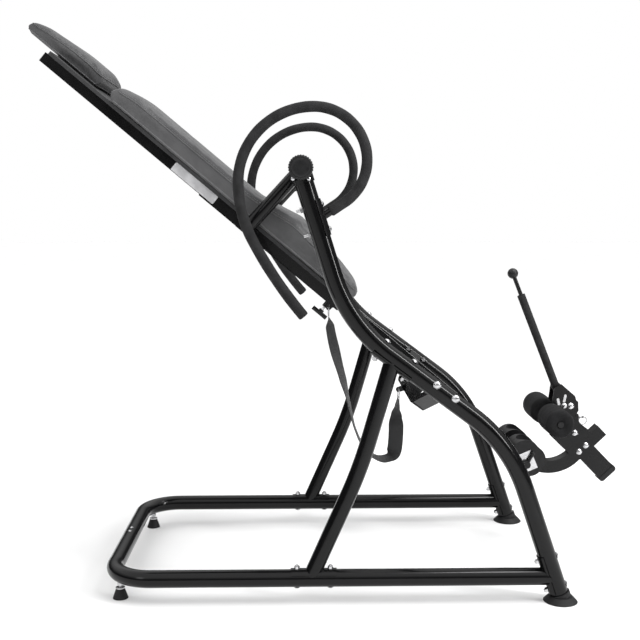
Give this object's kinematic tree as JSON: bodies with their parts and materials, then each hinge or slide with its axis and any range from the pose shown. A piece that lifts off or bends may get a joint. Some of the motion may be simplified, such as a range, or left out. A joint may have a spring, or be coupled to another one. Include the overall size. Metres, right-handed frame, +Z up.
{
  "type": "inversion table",
  "caption": "Inversion table: bolted tubular stand with foam loop handles, pivoting padded bed, sliding boom and a lever-worked ankle clamp with foam rollers.",
  "frame": {"origin": "middle of the footprint box, on the floor", "axes": "+X from the head end of the bed to the ankle end, +Y across the frame away from the side that the picture shows nearest, +Z up"},
  "size_m": [1.7294, 0.8, 1.5919],
  "materials": {
    "frame_paint": "satin black powder coat with a faint orange peel",
    "black_steel": "semi-matte black powder coat",
    "bright_steel": "zinc-plated, lightly scuffed",
    "spring_steel": "bright spring wire",
    "black_rubber": "matte moulded rubber",
    "foam": "fine-pored matte foam sleeve",
    "black_plastic": "fine-textured moulded plastic",
    "board": "painted flat board, seen only at its edge and underside",
    "pad_cover": "dark grey padded cover with seams",
    "webbing": "flat woven webbing"
  },
  "bodies": {
    "stand": {"base_tube_left": "frame_paint", "base_tube_right": "frame_paint", "base_joiner": "black_steel", "small_screws": "bright_steel", "upright_left": "frame_paint", "upright_right": "frame_paint", "rear_brace_left": "frame_paint", "rear_brace_right": "frame_paint", "frame_bolts": "bright_steel", "rear_feet": "black_rubber", "rear_foot_studs": "bright_steel", "front_feet": "black_rubber", "crossbar": "frame_paint", "crossbar_bolts": "bright_steel", "boom_rest": "black_rubber", "pivot_hubs": "black_steel", "pivot_bushes": "black_plastic", "pivot_caps": "black_plastic", "handle_tube_left": "frame_paint", "handle_tube_right": "frame_paint", "handle_foams": "foam", "tether_hook": "bright_steel", "tether_strap": "webbing"},
    "table": {"bed_frame": "black_steel", "rail_end_plugs": "black_plastic", "back_board": "board", "back_pad": "pad_cover", "head_pad": "pad_cover", "pivot_arms": "frame_paint", "pivot_axles": "bright_steel", "arm_bolts": "bright_steel", "lock_pin_collar": "black_steel", "lock_pin_spring": "spring_steel", "tether_clip": "bright_steel"},
    "lock_pin": {"lock_pin": "bright_steel", "lock_pin_grip": "black_plastic"},
    "boom": {"boom": "black_steel", "boom_end_plugs": "black_plastic", "heel_cup_left": "black_plastic", "heel_cup_right": "black_plastic", "heel_plate": "black_steel", "clamp_plate": "bright_steel", "boom_bolts": "bright_steel", "end_brackets": "black_steel", "foot_block": "black_steel", "foot_block_shoe": "black_plastic", "ring_pin_barrel": "black_steel", "ring_pin_spring": "spring_steel"},
    "cam_lever": {"cam_lever": "black_plastic"},
    "ring_pin": {"ring_pin": "bright_steel"},
    "ankle_clamp": {"clamp_arms": "black_steel", "roller_axle": "bright_steel", "roller_plugs": "black_plastic", "ankle_roller_left": "foam", "ankle_roller_right": "foam"},
    "ankle_lever": {"lever_fork": "black_steel", "lever_grip": "foam", "lever_shaft": "black_steel", "lever_knob": "black_plastic", "lever_bolts": "bright_steel"}
  },
  "joints": [
    {"name": "table_tilt", "type": "hinge", "parent": "stand", "child": "table", "pos_m": [-0.10279, 0, 1.184], "axis": [0, -1, 0], "range_deg": [0, 80], "deforming": ["tether_strap"]},
    {"name": "boom_slide", "type": "slide", "parent": "table", "child": "boom", "axis": [0.766, 0, -0.6428], "range_m": [-0.1016, 0.127]},
    {"name": "lock_pin_pull", "type": "slide", "parent": "table", "child": "lock_pin", "axis": [-0.6428, 0, -0.766], "range_m": [0, 0.007], "stiffness_N_per_m": 1500, "springref_m": -0.004, "deforming": ["lock_pin_spring"]},
    {"name": "ankle_lever_swing", "type": "hinge", "parent": "boom", "child": "ankle_lever", "pos_m": [0.71922, 0, 0.481], "axis": [0, 1, 0], "range_deg": [0, 40]},
    {"name": "ankle_clamp_swing", "type": "hinge", "parent": "boom", "child": "ankle_clamp", "pos_m": [0.73521, 0, 0.396], "axis": [0, 1, 0], "range_deg": [0, 25]},
    {"name": "ring_pin_pull", "type": "slide", "parent": "boom", "child": "ring_pin", "axis": [1, 0, 0], "range_m": [0, 0.006], "stiffness_N_per_m": 1200, "springref_m": -0.004, "deforming": ["ring_pin_spring"]},
    {"name": "cam_lever_turn", "type": "hinge", "parent": "boom", "child": "cam_lever", "pos_m": [0.56432, -0.114, 0.32529], "axis": [0, 1, 0], "range_deg": [0, 120]}
  ],
  "couplings": [
    {"joint": "ankle_clamp_swing", "follows": "ankle_lever_swing", "ratio": 0.625}
  ]
}
